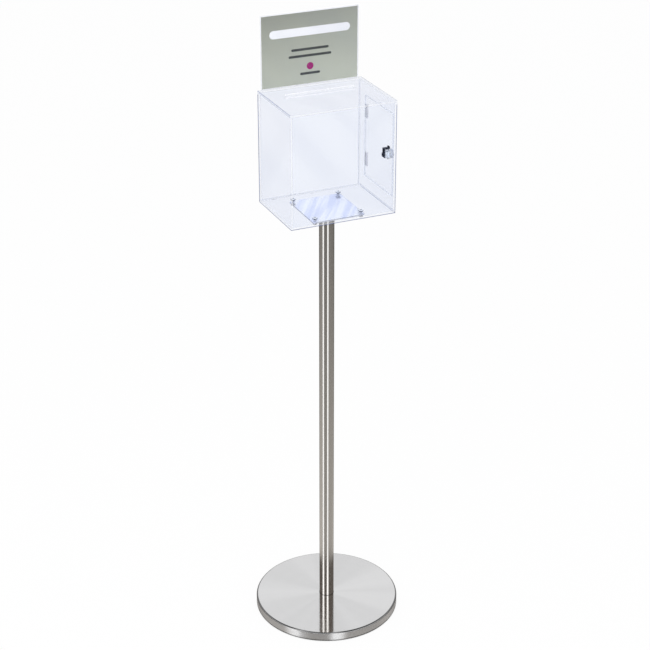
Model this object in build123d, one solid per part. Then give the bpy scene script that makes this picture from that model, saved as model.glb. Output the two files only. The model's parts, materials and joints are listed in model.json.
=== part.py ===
"""A clear acrylic ballot box with a sign pocket, on a round-based stainless floor post.

Millimetres, +Z up. The origin is on the floor under the post's axis. The front of the box
faces -Y, and its lockable door is in the right-hand wall, at +X.
"""
from build123d import *
from math import cos, radians, sin
import os

os.makedirs("parts", exist_ok=True)

# Shared values
overrun = 1.0
running_gap = 0.05
thread_gap = 0.03

# Base: a weighted disc under a spun stainless cover
base_radius = 160.0
cover_height = 20.0
cover_sheet = 1.0
cover_edge_radius = 3.5
cover_edge_angles = (0, 30, 60, 90)
cover_floor_gap = 1.5
weight_gap = 0.3
pad_thickness = 2.5
pad_inset = 8.0
bolt_radius = 6.0
bolt_length = 26.0
bolt_head_flats = 18.0
bolt_head_height = 7.5
bolt_pocket_radius = 15.0
bolt_hole_gap = 0.5
pocket_end_gap = 1.0

# Post
post_radius = 16.0
post_wall = 1.5
post_length = 945.0
plug_length = 30.0

# Plate welded on the post's top, and the fasteners that hold the box on it
plate_width = 115.0
plate_depth = 125.0
plate_thickness = 3.0
plate_corner_radius = 5.0
hole_spacing_x = 102.0
hole_spacing_y = 112.0
screw_radius = 2.5
screw_hole_gap = 0.25
screw_head_radius = 5.2
screw_crown_radius = 3.2
screw_head_height = 2.75
screw_socket_flats = 3.0
screw_socket_depth = 1.6
nut_flats = 8.0
nut_height = 4.0
screw_tip_length = 1.6

# Box of bonded acrylic sheet
box_width = 230.0
box_depth = 170.0
box_height = 240.0
sheet = 5.0

# Slot in the lid
slot_length = 150.0
slot_width = 10.0
slot_from_back = 52.0

# Door in the right-hand wall
door_front_margin = 10.5
door_back_margin = 28.0
door_bottom_margin = 33.5
door_top_margin = 31.0
door_gap = 1.0

# Hinges on the door's rear edge
hinge_height = 29.0
hinge_inset = 34.5
hinge_leaf_width = 6.0
hinge_leaf_thickness = 0.8
knuckle_radius = 2.0
knuckle_gap = 0.3
knuckle_standoff = 0.3
hinge_pin_radius = 1.0
pin_grip_gap = 0.02

# Cam lock near the door's front edge
lock_from_front = 23.5
flange_radius = 9.5
flange_thickness = 2.0
flange_face_radius = 8.7
barrel_radius = 8.0
barrel_inside_length = 11.0
barrel_hole_gap = 0.15
lock_nut_flats = 20.0
lock_nut_thickness = 4.0
core_radius = 5.4
core_face_radius = 6.5
core_face_thickness = 1.2
core_shoulder = 0.3
core_tail_side = 6.0
keyway_width = 1.6
keyway_height = 7.0
keyway_depth = 9.0
cam_width = 10.0
cam_thickness = 1.5
cam_reach = 17.0
cam_tip_radius = 2.0
cam_heel = 6.0
cam_foot_gap = 0.4
cam_nut_gap = 0.7
cam_fit_gap = 0.05
cam_screw_radius = 2.0
cam_screw_length = 8.0
cam_screw_end_gap = 1.0
cam_screw_head_radius = 4.6
cam_screw_head_height = 2.0
cam_slot_width = 1.0
cam_slot_depth = 1.0

# Sign pocket on the lid's rear edge, and its card
card_width = 210.0
card_height = 148.0
card_thickness = 0.8
card_gap = 0.2
holder_sheet = 1.5
holder_border = 2.0
holder_fold_radius = 1.4

# Levels and places worked out from the sizes above
base_top = cover_floor_gap + cover_height
weight_top = base_top - cover_sheet
pocket_top = pad_thickness + pocket_end_gap + bolt_head_height
tube_bore = post_radius - post_wall
post_top = base_top + post_length
box_bottom = post_top + plate_thickness
floor_top = box_bottom + sheet
lid_bottom = box_bottom + box_height - sheet
box_top = box_bottom + box_height
half_width = box_width / 2
half_depth = box_depth / 2
wall_inner_x = half_width - sheet
wall_inner_y = half_depth - sheet
opening_front = -half_depth + door_front_margin
opening_back = half_depth - door_back_margin
opening_bottom = box_bottom + door_bottom_margin
opening_top = box_top - door_top_margin
door_front = opening_front + door_gap
door_back = opening_back - door_gap
door_bottom = opening_bottom + door_gap
door_top = opening_top - door_gap
hinge_x = half_width + knuckle_radius + knuckle_standoff
hinge_y = opening_back - door_gap / 2
lock_y = -half_depth + lock_from_front
lock_z = (door_bottom + door_top) / 2
barrel_end = wall_inner_x - barrel_inside_length
core_end = barrel_end - core_shoulder
cam_end = core_end - cam_thickness
plate_holes = [
    (side * hole_spacing_x / 2, end * hole_spacing_y / 2)
    for side in (-1, 1)
    for end in (-1, 1)
]


def block(low, high):
    """A box between its lowest and highest corners."""
    size = [b - a for a, b in zip(low, high)]
    middle = [(a + b) / 2 for a, b in zip(low, high)]
    return Pos(*middle) * Box(*size)


def disc(radius, bottom, top, x=0, y=0):
    """A cylinder about a vertical axis."""
    return Pos(x, y, (bottom + top) / 2) * Cylinder(radius, top - bottom)


def turned(radius, left, right):
    """A cylinder on the lock's axis, which lies along X."""
    return Pos((left + right) / 2, lock_y, lock_z) * Rot(0, 90, 0) * Cylinder(radius, right - left)


def squared(across, tall, left, right):
    """A square or oblong bar on the lock's axis."""
    return Pos((left + right) / 2, lock_y, lock_z) * Box(right - left, across, tall)


def hexagon(flats):
    """A regular hexagon by its width across flats."""
    return RegularPolygon(flats / 2, 6, major_radius=False)


def hex_prism(flats, bottom, top, x=0, y=0):
    """A hexagonal prism about a vertical axis."""
    return Pos(x, y, bottom) * extrude(hexagon(flats), top - bottom)


def edges_at(shape, height):
    """The edges that lie whole at one height."""
    return shape.edges().filter_by_position(Axis.Z, height, height)


def save(name, *solids):
    """Write one node from its separate solids."""
    shape = solids[0] if len(solids) == 1 else Compound(children=list(solids))
    export_step(shape, f"parts/{name}.step")


# Stand

def base_pad():
    """Rubber sheet under the weight. It also closes the bolt's pocket."""
    return disc(base_radius - pad_inset, 0, pad_thickness)


def base_weight():
    """Cast disc that keeps the stand upright, with a pocket for the bolt's head."""
    body = disc(base_radius - cover_edge_radius - weight_gap, pad_thickness, weight_top)
    pocket = disc(bolt_pocket_radius, pad_thickness - overrun, pocket_top)
    hole = disc(bolt_radius + bolt_hole_gap, pad_thickness, weight_top + overrun)
    return body - pocket - hole


def base_cover():
    """Spun stainless shell. Its rolled edge is drawn as a few narrow cones."""
    start = base_radius - cover_edge_radius
    level = base_top - cover_edge_radius
    edge = [
        (start + cover_edge_radius * sin(radians(a)), level + cover_edge_radius * cos(radians(a)))
        for a in cover_edge_angles
    ]
    profile = Polyline(
        (0, cover_floor_gap),
        (0, base_top),
        *edge,
        (base_radius, cover_floor_gap),
        close=True,
    )
    outer = revolve(Plane.XZ * make_face(profile), Axis.Z)
    inner = disc(base_radius - cover_sheet, cover_floor_gap - overrun, weight_top)
    inner = chamfer(edges_at(inner, weight_top), cover_edge_radius - cover_sheet)
    hole = disc(bolt_radius + bolt_hole_gap, weight_top - overrun, base_top + overrun)
    return outer - inner - hole


def base_bolt():
    """Hexagon bolt that pulls the post down on the base."""
    head = hex_prism(bolt_head_flats, pocket_top - bolt_head_height, pocket_top)
    shank = disc(bolt_radius, pocket_top, pocket_top + bolt_length)
    return head + shank


def foot_plug():
    """Threaded round bar welded in the post's foot."""
    plug = disc(tube_bore - thread_gap, base_top, base_top + plug_length)
    return plug - disc(bolt_radius + thread_gap, base_top - overrun, base_top + plug_length + overrun)


def post_tube():
    """Brushed stainless tube."""
    return disc(post_radius, base_top, post_top) - disc(tube_bore, base_top - overrun, post_top + overrun)


def top_plate():
    """Stainless plate that the box is screwed to."""
    plan = RectangleRounded(plate_width, plate_depth, plate_corner_radius)
    plate = Pos(0, 0, post_top) * extrude(plan, plate_thickness)
    for x, y in plate_holes:
        plate -= disc(screw_radius + screw_hole_gap, post_top - overrun, box_bottom + overrun, x, y)
    return plate


# Fasteners between the box and the plate

nut_bottom = post_top - nut_height


def plate_screw(x, y):
    """Socket screw with a sloping head, down through the box's floor and the plate."""
    head_top = floor_top + screw_head_height
    head = Cone(screw_head_radius, screw_crown_radius, screw_head_height)
    head = Pos(x, y, (floor_top + head_top) / 2) * head
    shank = disc(screw_radius, nut_bottom - screw_tip_length, floor_top, x, y)
    socket = hex_prism(screw_socket_flats, head_top - screw_socket_depth, head_top + overrun, x, y)
    return head + shank - socket


def plate_nut(x, y):
    """Hexagon nut under the plate."""
    body = hex_prism(nut_flats, nut_bottom, post_top, x, y)
    return body - disc(screw_radius + thread_gap, nut_bottom - overrun, post_top + overrun, x, y)


# Box

def bottom_panel():
    """Floor of the box, under all four walls."""
    panel = block((-half_width, -half_depth, box_bottom), (half_width, half_depth, floor_top))
    for x, y in plate_holes:
        panel -= disc(screw_radius + screw_hole_gap, box_bottom - overrun, floor_top + overrun, x, y)
    return panel


def top_panel():
    """Lid over all four walls, with the ballot slot near its rear edge."""
    panel = block((-half_width, -half_depth, lid_bottom), (half_width, half_depth, box_top))
    plan = SlotOverall(slot_length, slot_width)
    cut = extrude(plan, sheet + 2 * overrun)
    return panel - Pos(0, half_depth - slot_from_back, lid_bottom - overrun) * cut


def cross_wall(outer, inner):
    """A front or rear wall between the side walls."""
    return block(
        (-wall_inner_x, min(outer, inner), floor_top),
        (wall_inner_x, max(outer, inner), lid_bottom),
    )


def left_panel():
    """Plain side wall."""
    return block((-half_width, -half_depth, floor_top), (-wall_inner_x, half_depth, lid_bottom))


def right_panel():
    """Side wall with the door's opening."""
    wall = block((wall_inner_x, -half_depth, floor_top), (half_width, half_depth, lid_bottom))
    opening = block(
        (wall_inner_x - overrun, opening_front, opening_bottom),
        (half_width + overrun, opening_back, opening_top),
    )
    return wall - opening


def door_panel():
    """Door that fills the opening, bored for the lock."""
    panel = block((wall_inner_x, door_front, door_bottom), (half_width, door_back, door_top))
    hole = barrel_radius + barrel_hole_gap
    return panel - turned(hole, wall_inner_x - overrun, half_width + overrun)


# Hinges

knuckle_length = (hinge_height - 2 * knuckle_gap) / 3


def knuckle(low, high, bore):
    """One rolled knuckle of a hinge."""
    outer = disc(knuckle_radius, low, high, hinge_x, hinge_y)
    return outer - disc(bore, low - overrun, high + overrun, hinge_x, hinge_y)


def leaf(side, bottom, spans, bore):
    """A hinge leaf on one side of the axis, with knuckles over the given spans."""
    near = hinge_y + side * (knuckle_radius + knuckle_gap)
    far = hinge_y + side * hinge_leaf_width
    leaf_top = half_width + hinge_leaf_thickness
    shape = block(
        (half_width, min(near, far), bottom),
        (leaf_top, max(near, far), bottom + hinge_height),
    )
    for low, high in spans:
        tongue = block((half_width, min(hinge_y, far), low), (leaf_top, max(hinge_y, far), high))
        shape = shape + tongue + knuckle(low, high, bore)
    return shape


def wall_leaf(bottom):
    """The leaf bonded to the wall, with the outer knuckles that grip the pin."""
    top = bottom + hinge_height
    spans = [(bottom, bottom + knuckle_length), (top - knuckle_length, top)]
    return leaf(1, bottom, spans, hinge_pin_radius + pin_grip_gap)


def door_leaf(bottom):
    """The leaf bonded to the door, with the middle knuckle that turns on the pin."""
    low = bottom + knuckle_length + knuckle_gap
    return leaf(-1, bottom, [(low, low + knuckle_length)], hinge_pin_radius + running_gap)


def hinge_pin(bottom):
    """Pin through the three knuckles of a hinge."""
    return disc(hinge_pin_radius, bottom, bottom + hinge_height, hinge_x, hinge_y)


# Lock

lock_face = half_width + flange_thickness
core_seat = lock_face - core_face_thickness


def lock_body():
    """Housing with its sloping flange outside the door and its barrel through it."""
    flange = Cone(flange_radius, flange_face_radius, flange_thickness)
    flange = Pos((half_width + lock_face) / 2, lock_y, lock_z) * Rot(0, 90, 0) * flange
    barrel = turned(barrel_radius, barrel_end, half_width)
    bore = turned(core_radius + running_gap, barrel_end - overrun, lock_face + overrun)
    seat = turned(core_face_radius + running_gap, core_seat, lock_face + overrun)
    return flange + barrel - bore - seat


def lock_nut():
    """Hexagon nut that clamps the lock against the door's inner face."""
    outer = wall_inner_x - lock_nut_thickness
    body = extrude(hexagon(lock_nut_flats), lock_nut_thickness)
    body = Pos(outer, lock_y, lock_z) * Rot(0, 90, 0) * body
    return body - turned(barrel_radius + thread_gap, outer - overrun, wall_inner_x + overrun)


def lock_core():
    """The plug that the key turns, with a square tail for the cam."""
    head = turned(core_face_radius, core_seat + running_gap, lock_face)
    shaft = turned(core_radius, core_end, core_seat + running_gap)
    tail = squared(core_tail_side, core_tail_side, cam_end, core_end)
    keyway = squared(keyway_width, keyway_height, lock_face - keyway_depth, lock_face + overrun)
    thread = turned(cam_screw_radius + thread_gap, cam_end - overrun, cam_end + cam_screw_length)
    return head + shaft + tail - keyway - thread


def lock_cam():
    """Cranked cam, here unlocked with its tip up. A quarter turn puts it behind the front strip."""
    nut_corner = hexagon(lock_nut_flats).bounding_box().max.X
    leg = nut_corner + cam_nut_gap
    foot = wall_inner_x - cam_foot_gap
    profile = Polyline(
        (cam_end, lock_z - cam_heel),
        (core_end, lock_z - cam_heel),
        (core_end, lock_z + leg),
        (foot, lock_z + leg),
        (foot, lock_z + cam_reach),
        (foot - cam_thickness, lock_z + cam_reach),
        (foot - cam_thickness, lock_z + leg + cam_thickness),
        (cam_end, lock_z + leg + cam_thickness),
        close=True,
    )
    section = Plane.XZ * make_face(profile)
    cam = Pos(0, lock_y + cam_width / 2, 0) * extrude(section, cam_width)
    tip = lock_z + cam_reach
    cam = fillet(cam.edges().filter_by(Axis.X).filter_by_position(Axis.Z, tip, tip), cam_tip_radius)
    hole_side = core_tail_side + 2 * cam_fit_gap
    return cam - squared(hole_side, hole_side, cam_end - overrun, core_end + overrun)


def cam_screw():
    """Slotted screw whose broad head holds the cam on the plug's tail."""
    end = cam_end - cam_screw_head_height
    head = turned(cam_screw_head_radius, end, cam_end)
    shank = turned(cam_screw_radius, cam_end, cam_end + cam_screw_length - cam_screw_end_gap)
    across = 2 * (cam_screw_head_radius + overrun)
    slot = squared(across, cam_slot_width, end - overrun, end + cam_slot_depth)
    return head + shank - slot


# Sign

holder_back = half_depth
holder_front = holder_back - 2 * holder_sheet - card_thickness - 2 * card_gap
card_bottom = box_top + holder_sheet
card_back = holder_back - holder_sheet - card_gap


def sign_holder():
    """Folded clear pocket bonded to the lid along its rear edge, open at the top."""
    half = card_width / 2 + holder_border
    top = card_bottom + card_height + holder_border
    body = block((-half, holder_front, box_top), (half, holder_back, top))
    body = fillet(edges_at(body, box_top).filter_by(Axis.X), holder_fold_radius)
    pocket = block(
        (-half - overrun, holder_front + holder_sheet, card_bottom),
        (half + overrun, holder_back - holder_sheet, top + overrun),
    )
    return body - pocket


def sign_card():
    """Printed card that drops into the pocket."""
    half = card_width / 2
    card_top = card_bottom + card_height
    return block((-half, card_back - card_thickness, card_bottom), (half, card_back, card_top))


save("base_pad", base_pad())
save("base_weight", base_weight())
save("base_cover", base_cover())
save("base_bolt", base_bolt())
save("foot_plug", foot_plug())
save("post_tube", post_tube())
save("top_plate", top_plate())

save("plate_screws", *[plate_screw(x, y) for x, y in plate_holes])
save("plate_nuts", *[plate_nut(x, y) for x, y in plate_holes])

save("bottom_panel", bottom_panel())
save("top_panel", top_panel())
save("front_panel", cross_wall(-half_depth, -wall_inner_y))
save("back_panel", cross_wall(half_depth, wall_inner_y))
save("left_panel", left_panel())
save("right_panel", right_panel())
save("door_panel", door_panel())

hinge_bottoms = [
    door_bottom + hinge_inset - hinge_height / 2,
    door_top - hinge_inset - hinge_height / 2,
]
save("hinge_wall_leaves", *[wall_leaf(bottom) for bottom in hinge_bottoms])
save("hinge_door_leaves", *[door_leaf(bottom) for bottom in hinge_bottoms])
save("hinge_pins", *[hinge_pin(bottom) for bottom in hinge_bottoms])

save("lock_body", lock_body())
save("lock_nut", lock_nut())
save("lock_core", lock_core())
save("lock_cam", lock_cam())
save("cam_screw", cam_screw())
save("sign_holder", sign_holder())
save("sign_card", sign_card())
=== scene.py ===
"""Looks for a clear acrylic ballot box on a stainless floor stand."""

import json
import math

import bmesh
import bpy
from bpy.props import FloatProperty, FloatVectorProperty, IntProperty, PointerProperty
from mathutils import Matrix, Vector

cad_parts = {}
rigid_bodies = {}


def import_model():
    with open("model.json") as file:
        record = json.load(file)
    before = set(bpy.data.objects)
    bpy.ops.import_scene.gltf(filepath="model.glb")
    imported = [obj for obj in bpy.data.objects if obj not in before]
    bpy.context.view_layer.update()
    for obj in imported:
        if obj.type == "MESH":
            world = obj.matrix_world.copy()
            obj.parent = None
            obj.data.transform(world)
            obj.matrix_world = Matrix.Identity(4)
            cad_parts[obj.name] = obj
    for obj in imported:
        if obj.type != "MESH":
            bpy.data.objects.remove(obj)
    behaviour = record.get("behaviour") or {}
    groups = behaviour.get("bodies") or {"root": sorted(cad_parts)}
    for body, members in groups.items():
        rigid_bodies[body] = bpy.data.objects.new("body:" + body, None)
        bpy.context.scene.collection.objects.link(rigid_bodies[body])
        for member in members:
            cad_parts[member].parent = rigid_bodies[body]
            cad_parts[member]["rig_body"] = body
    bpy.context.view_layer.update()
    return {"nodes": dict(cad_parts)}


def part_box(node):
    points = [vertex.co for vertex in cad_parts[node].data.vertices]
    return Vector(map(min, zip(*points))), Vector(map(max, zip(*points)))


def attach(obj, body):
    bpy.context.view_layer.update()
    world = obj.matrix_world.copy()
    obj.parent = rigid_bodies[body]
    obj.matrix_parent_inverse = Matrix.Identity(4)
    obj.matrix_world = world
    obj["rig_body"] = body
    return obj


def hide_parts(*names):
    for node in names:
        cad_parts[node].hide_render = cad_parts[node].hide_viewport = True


bl_info = {
    "name": "Ballot box on a floor stand",
    "version": (1, 0, 0),
    "blender": (4, 5, 0),
    "location": "View3D > Sidebar > Ballot box",
    "description": "Dresses a clear acrylic ballot box and its stainless stand",
    "category": "Object",
}

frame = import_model()
NODES = frame["nodes"]

MM = 0.001
SHARP_ANGLE = math.radians(40)
FACET_ANGLE = math.radians(12)
FLAT_ANGLE = math.radians(1)
WELD = 0.001 * MM
NEAR = 0.02 * MM

# Steps in round corners and edges
CORNER_STEPS = 10
DOME_STEPS = 8
ROUNDING_STEPS = 6
FOLD_STEPS = 5

# Turns of a plate whose thickness is along the named axis
ACROSS_X = Matrix(((0, 0, 1), (1, 0, 0), (0, 1, 0)))
ACROSS_Y = Matrix(((0, 1, 0), (0, 0, 1), (1, 0, 0)))
ACROSS_Z = Matrix.Identity(3)

# The looks of a clear sheet: broad and narrow faces, the rounding between them, and the narrow faces
# at its left and right, which are a greyer copy as painted shade
SHEET_LOOKS = ("clear_acrylic", "polished_edge", "edge_line", "side_edge_painted_shade")
BROAD, NARROW, ROUNDED, SIDE = range(4)

# How far a face's normal follows an axis: nearly fully, and hardly
ALONG = 0.99
ASIDE = 0.1

BLACK = (0.0, 0.0, 0.0)
WHITE = (1.0, 1.0, 1.0)

# The clear sheet's gloss, and the light that passes it: to light things, and at its narrow faces
ACRYLIC_IOR = 1.49
SHEET_GLOSS = (0.3, 0.35, 0.55)
LAMPS_THROUGH = (0.985, 0.99, 1.0)
EDGE_THROUGH = (0.97, 0.98, 1.0)

# Widths of the marks that shaders draw on the sheet and the card
STRIP_WIDTH = 2.0 * MM
STRIP_SOFT = 0.2 * MM
RIM_WIDTH = 1.5 * MM
BAR_SOFT = 0.3 * MM
LEFT_FADE = 150.0 * MM


# Shader sockets


class Value:
    """A shader socket that takes part in sums."""

    def __init__(self, shader, socket):
        self.shader = shader
        self.socket = socket

    def math(self, operation, *others):
        """Put this value, then the others, through a Math node."""
        inputs = dict(enumerate((self, *others)))
        return self.shader.node("ShaderNodeMath", {"operation": operation}, inputs)

    def output(self, name):
        """Another output of the same node."""
        return Value(self.shader, self.socket.node.outputs[name])

    def __add__(self, other):
        return self.math("ADD", other)

    def __sub__(self, other):
        return self.math("SUBTRACT", other)

    def __mul__(self, other):
        return self.math("MULTIPLY", other)

    def __truediv__(self, other):
        return self.math("DIVIDE", other)


class Shader:
    """The nodes of one material or world."""

    def __init__(self, owner):
        owner.use_nodes = True
        self.owner = owner
        self.tree = owner.node_tree
        self.tree.nodes.clear()

    def node(self, kind, settings=None, inputs=None, output=0):
        """Add a node: its settings first, then the values or links of its sockets."""
        made = self.tree.nodes.new(kind)
        for name, value in (settings or {}).items():
            setattr(made, name, value)
        for name, value in (inputs or {}).items():
            socket = made.inputs[name]
            if isinstance(value, Value):
                self.tree.links.new(value.socket, socket)
            else:
                socket.default_value = (*value, 1.0) if socket.type == "RGBA" else value
        return Value(self, made.outputs[output])

    def place(self):
        """Where a point is on the piece, in metres."""
        return self.node("ShaderNodeTexCoord", output="Object")

    def axes(self, vector):
        """The three parts of a vector."""
        first = self.node("ShaderNodeSeparateXYZ", inputs={0: vector})
        return first, first.output("Y"), first.output("Z")

    def point(self, x, y, z):
        """A vector from three values."""
        return self.node("ShaderNodeCombineXYZ", inputs={0: x, 1: y, 2: z})

    def noise(self, vector, scale=1.0, detail=2.0, roughness=0.5):
        """Noise from 0 to 1 over a vector."""
        inputs = {"Vector": vector, "Scale": scale, "Detail": detail, "Roughness": roughness}
        return self.node("ShaderNodeTexNoise", inputs=inputs, output="Fac")

    def ramp(self, value, low, high, first=0.0, last=1.0, smooth=True):
        """A value moved from one range to another and held at the ends."""
        settings = {"interpolation_type": "SMOOTHSTEP" if smooth else "LINEAR", "clamp": True}
        inputs = {0: value, 1: low, 2: high, 3: first, 4: last}
        return self.node("ShaderNodeMapRange", settings, inputs)

    def mix(self, share, first, second):
        """One colour over another by a share."""
        settings = {"data_type": "RGBA", "clamp_factor": True}
        return self.node("ShaderNodeMix", settings, {0: share, 6: first, 7: second}, 2)

    def tones(self, share, colour, darker, lighter):
        """A colour between a darker and a lighter shade of it by a share."""
        return self.mix(share, shade(colour, darker), shade(colour, lighter))

    def highest(self, first, *others):
        """The largest of several values."""
        for other in others:
            first = first.math("MAXIMUM", other)
        return first

    def distance(self, x, y):
        """How far two parts of a vector reach together."""
        return (x * x + y * y).math("SQRT")

    def facing(self):
        """0 where a face is seen square on, and 1 where it is seen along."""
        return self.node("ShaderNodeLayerWeight", inputs={"Blend": 0.5}, output="Facing")

    def clear(self, colour):
        """A shader that lets light through and tints it."""
        return self.node("ShaderNodeBsdfTransparent", inputs={"Color": colour})

    def mix_shader(self, share, first, second):
        """One shader over another by a share."""
        return self.node("ShaderNodeMixShader", inputs={0: share, 1: first, 2: second})

    def bump(self, height, distance, strength):
        """A normal from a height."""
        inputs = {"Strength": strength, "Distance": distance, "Height": height}
        return self.node("ShaderNodeBump", inputs=inputs)

    def principled(self, **inputs):
        """The main surface shader, with its sockets named with underscores."""
        named = {name.replace("_", " "): value for name, value in inputs.items()}
        return self.node("ShaderNodeBsdfPrincipled", inputs=named)

    def surface(self, shader):
        """Put a shader on the output, and give back the material or world."""
        world = isinstance(self.owner, bpy.types.World)
        end = self.tree.nodes.new("ShaderNodeOutputWorld" if world else "ShaderNodeOutputMaterial")
        self.tree.links.new(shader.socket, end.inputs["Surface"])
        return self.owner

    def finish(self, **inputs):
        """Put the main surface shader on the output."""
        return self.surface(self.principled(**inputs))


def new_shader(name):
    """The shader of a new, named material."""
    return Shader(bpy.data.materials.new(name))


def shade(colour, by):
    """A colour made lighter or darker."""
    return tuple(min(1.0, part * by) for part in colour)


# Materials


def box_outside():
    """The outer corners of the clear box, which its floor and lid share."""
    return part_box("bottom_panel")[0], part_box("top_panel")[1]


def outer_edges(shader, axes):
    """1 along the twelve outer edges of the box, where two of its outer planes meet."""
    planes = 0.0
    for value, start, end in zip(axes, *box_outside()):
        away = (value - (start + end) / 2).math("ABSOLUTE")
        half = (end - start) / 2
        planes = shader.ramp(away, half - 1.2 * MM, half - 0.8 * MM) + planes
    return shader.ramp(planes, 1.2, 1.8)


def painted_reflection_strips(shader, axes):
    """1 on the strips beside four outer edges of the box, where dark lines of painted reflection go:
    the floor's front and left edges, and the uprights at rear left and front right. They fade out
    under the lid."""
    low, high = box_outside()
    outer = STRIP_WIDTH + STRIP_SOFT
    inner = STRIP_WIDTH - STRIP_SOFT
    left, front, under = (
        shader.ramp(value, edge + inner, edge + outer, 1.0, 0.0) for value, edge in zip(axes, low)
    )
    right, rear = (
        shader.ramp(value, edge - outer, edge - inner) for value, edge in zip(axes, high[:2])
    )
    # Painted reflection: these strips take the dark outline colour.
    strip = shader.highest(left * under, front * under, left * rear, right * front)
    return strip * shader.ramp(axes[2], high.z - 9.0 * MM, high.z - 7.0 * MM, 1.0, 0.0)


def rounded_bar(shader, values, middle, half_size):
    """A mask over two values that is 1 inside a bar with round ends."""
    corner = half_size[1]
    over = [
        (value - centre).math("ABSOLUTE").math("SUBTRACT", half - corner).math("MAXIMUM", 0.0)
        for value, centre, half in zip(values, middle, half_size)
    ]
    return shader.ramp(shader.distance(*over), corner - BAR_SOFT, corner + BAR_SOFT, 1.0, 0.0)


def slot_middle(sizes):
    """Where the slot is in the lid."""
    return 0.0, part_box("top_panel")[1].y - sizes.slot_from_back


def slot_rim(shader, axes, sizes):
    """1 round the rim of the slot in the lid, where a highlight is painted."""
    half_size = (sizes.slot_length / 2 + RIM_WIDTH, sizes.slot_width / 2 + RIM_WIDTH)
    return rounded_bar(shader, axes[:2], slot_middle(sizes), half_size)


def rim_glow(shader, rim, colours):
    """A painted glow round the slot's rim."""
    return shader.mix(rim, BLACK, shade(colours.slot_light, 0.2))


def clear_sheet_material(colours, sizes):
    """Broad faces of the clear sheet: nearly all light passes, a little is mirrored. The lid and the
    upper part of the left wall are painted lighter for the camera as painted light, dark lines of
    painted reflection lie beside four outer edges, and a painted highlight with a faint painted glow
    lies round the slot's rim."""
    shader = new_shader("clear_acrylic")
    place = shader.place()
    axes = shader.axes(place)
    x, y, z = axes
    across = x * 0.79 + y * 0.5 + z * 0.62
    along = x * 0.62 - z * 0.79
    haze = shader.noise(shader.point(across * 16.0, along * 3.0, y * 3.0), 1.0, 1.0)
    strip = painted_reflection_strips(shader, axes)
    lid_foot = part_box("top_panel")[0].z
    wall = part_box("left_panel")[1]
    on_lid = shader.ramp(z, lid_foot - 1.0 * MM, lid_foot)
    # Painted light: the lid and the upper part of the left wall look lighter to the camera.
    painted_light_left = shader.ramp(x, wall.x, wall.x + 1.0 * MM, 1.0, 0.0)
    painted_light_left = painted_light_left * shader.ramp(z, wall.z - LEFT_FADE, wall.z, 0.5)
    rim = slot_rim(shader, axes, sizes) * on_lid
    lighter = shader.highest(on_lid, painted_light_left)
    seen = shader.clear(shader.mix(lighter, colours.acrylic, colours.acrylic_painted_light))
    camera_ray = shader.node("ShaderNodeLightPath", output="Is Camera Ray")
    clear = shader.mix_shader(camera_ray, shader.clear(LAMPS_THROUGH), seen)
    # Painted highlight round the slot's rim, and painted reflection as dark lines in the strips beside
    # the outline.
    ground = shader.mix(rim, SHEET_GLOSS, colours.slot_light)
    gloss = shader.principled(
        Base_Color=shader.mix(strip, ground, colours.sheet_line_painted_reflection),
        Emission_Color=rim_glow(shader, rim, colours),
        Emission_Strength=1.0,
        Roughness=haze * 0.05 + 0.01,
        IOR=ACRYLIC_IOR,
        Normal=shader.bump(shader.noise(place, 9.0, 1.0), 0.4 * MM, 0.5),
    )
    share = shader.facing().math("POWER", 8.0) * 0.9 + shader.ramp(haze, 0.38, 0.66) * 0.02
    share = share + strip * 0.5 + rim * 0.55 + 0.01
    return shader.surface(shader.mix_shader(share.math("MINIMUM", 1.0), clear, gloss))


def sheet_edge_material(name, colour, line, share):
    """Narrow faces of the clear sheet, which gather light and look whiter than the rest; the copy for
    the left and right faces is greyer as painted shade. Dark lines of painted reflection run in the
    strips beside four outer edges.
    """
    shader = new_shader(name)
    place = shader.place()
    streaks = shader.noise(place, 60.0, 3.0)
    scratches = shader.noise(place, 900.0)
    strip = painted_reflection_strips(shader, shader.axes(place))
    frosted = shader.principled(
        # Painted reflection: the dark outline colour in the strips beside four outer edges.
        Base_Color=shader.mix(strip, shader.tones(streaks, colour, 0.92, 1.06), line),
        Roughness=scratches * 0.2 + 0.15,
        IOR=ACRYLIC_IOR,
        Normal=shader.bump(scratches, 0.02 * MM, 0.4),
    )
    share = streaks * 0.14 + strip * 0.35 + (share - 0.07)
    return shader.surface(shader.mix_shader(share, shader.clear(EDGE_THROUGH), frosted))


def sheet_line_material(colours, sizes):
    """Fine rounding along the sheet's edges: faint on inner seams, a painted highlight round the slot,
    and dark painted reflection with small dots on the box's outline where it is seen along."""
    shader = new_shader("edge_line")
    place = shader.place()
    axes = shader.axes(place)
    streaks = shader.noise(place, 60.0, 3.0)
    outer = outer_edges(shader, axes)
    dots = shader.ramp(shader.noise(place, 85.0, 1.0), 0.66, 0.7) * outer
    rim = slot_rim(shader, axes, sizes)
    # Painted reflection: the outer edges take the dark outline colour.
    line = shader.mix(outer, colours.sheet_seam, colours.sheet_line_painted_reflection)
    line = shader.mix(dots, line, colours.sheet_dot)
    rounded = shader.principled(
        # Painted highlight round the slot's rim.
        Base_Color=shader.mix(rim, line, colours.slot_light),
        Emission_Color=rim_glow(shader, rim, colours),
        Emission_Strength=1.0,
        Roughness=streaks * 0.2 + 0.1,
        IOR=ACRYLIC_IOR,
        Normal=shader.bump(streaks, 0.02 * MM, 0.4),
    )
    facing = shader.facing()
    seam = shader.ramp(facing, 0.4, 0.78, 0.04, 0.26)
    outline = shader.ramp(facing, 0.35, 0.66, 0.06, 1.0)
    share = seam + outer * (outline - seam) + dots * 0.4 + rim * 0.4
    clear = shader.clear(EDGE_THROUGH)
    return shader.surface(shader.mix_shader(share.math("MINIMUM", 1.0), clear, rounded))


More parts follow.
